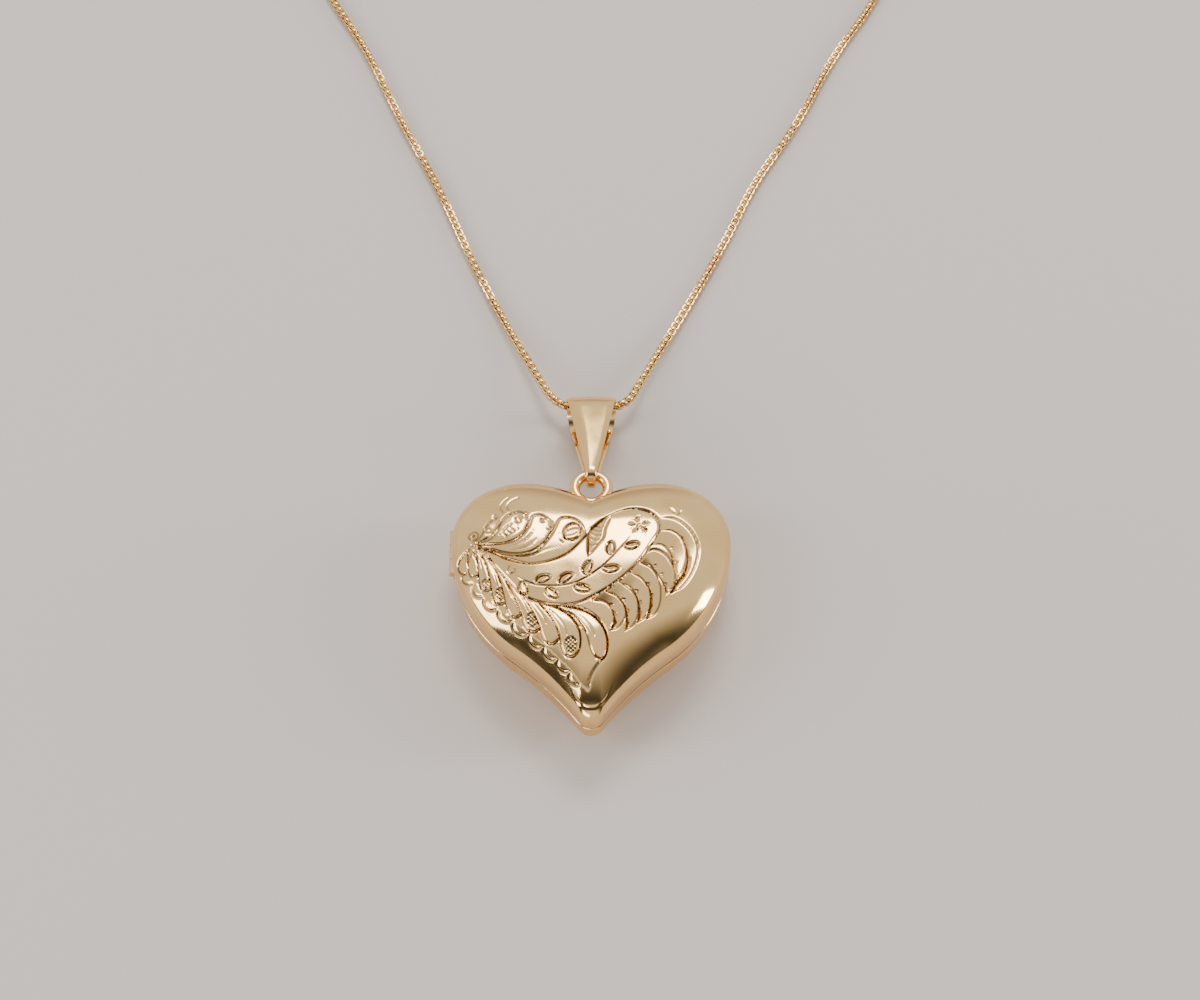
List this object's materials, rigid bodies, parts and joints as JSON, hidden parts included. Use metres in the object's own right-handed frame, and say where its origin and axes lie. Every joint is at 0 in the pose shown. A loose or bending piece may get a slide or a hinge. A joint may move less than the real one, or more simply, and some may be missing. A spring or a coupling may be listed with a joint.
{
  "type": "heart locket on a box chain",
  "caption": "Puffed heart locket with an engraved front cover that opens on a side hinge, hung by a tapered bail on a fine box chain with a spring ring clasp.",
  "frame": {"origin": "under the middle of the locket's box (heart, loop and bail, without the chain), on the surface that it lies on", "axes": "+X to the viewer's right, +Y from the heart's tip towards the bail, +Z out of the engraved front"},
  "size_m": [0.0656, 0.104, 0.0084],
  "materials": {
    "polished_gold": "mirror polished, pale champagne-yellow, fine wiping marks",
    "engraved_gold": "mirror polished and hand engraved, darker in the cuts",
    "inner_gold": "satin, as stamped",
    "chain_gold": "polished box links",
    "spring_steel": "drawn wire",
    "clear_sheet": "clear, thin",
    "picture_card": "matt card with a plain printed pattern",
    "backing_card": "uncoated board",
    "tie_thread": "twisted cotton thread"
  },
  "bodies": {
    "necklace": {"chain_left": "chain_gold", "chain_right": "chain_gold", "chain_coil_left": "chain_gold", "chain_coil_right": "chain_gold", "coil_tie_left": "tie_thread", "coil_tie_right": "tie_thread", "chain_end_ring_left": "chain_gold", "chain_end_ring_right": "chain_gold", "clasp_jump_ring": "chain_gold", "tag_jump_ring": "chain_gold", "clasp_eyelet": "polished_gold", "clasp_ring": "polished_gold", "clasp_spring": "spring_steel", "end_tag": "polished_gold"},
    "clasp_bolt": {"clasp_bolt": "polished_gold"},
    "bail": {"bail": "polished_gold"},
    "back": {"back_shell": "polished_gold", "back_rim": "inner_gold", "back_frame": "polished_gold", "back_window": "clear_sheet", "back_picture": "picture_card", "back_backing": "backing_card", "back_knuckles": "polished_gold", "hinge_pin": "polished_gold", "pendant_loop": "polished_gold"},
    "front": {"front_shell": "engraved_gold", "front_rim": "inner_gold", "front_frame": "polished_gold", "front_window": "clear_sheet", "front_picture": "picture_card", "front_backing": "backing_card", "front_knuckle": "polished_gold", "catch_tongue": "inner_gold"}
  },
  "joints": [
    {"name": "bail_swing", "type": "hinge", "parent": "necklace", "child": "bail", "pos_m": [0.0001, 0.01697, 0.0022], "axis": [-1, 0, 0], "range_deg": [-90, 90]},
    {"name": "locket_swing", "type": "hinge", "parent": "bail", "child": "back", "pos_m": [0.0001, 0.00827, 0.0042], "axis": [-1, 0, 0], "range_deg": [-75, 75]},
    {"name": "cover_hinge", "type": "hinge", "parent": "back", "child": "front", "pos_m": [-0.0122, -0.00011, 0.0042], "axis": [0, -1, 0], "range_deg": [0, 130]},
    {"name": "clasp_slide", "type": "hinge", "parent": "necklace", "child": "clasp_bolt", "pos_m": [-0.0129, 0.07972, 0.00065], "axis": [0, 0, 1], "range_deg": [0, 60], "stiffness_Nm_per_rad": 0.0004, "deforming": ["clasp_spring"]}
  ]
}
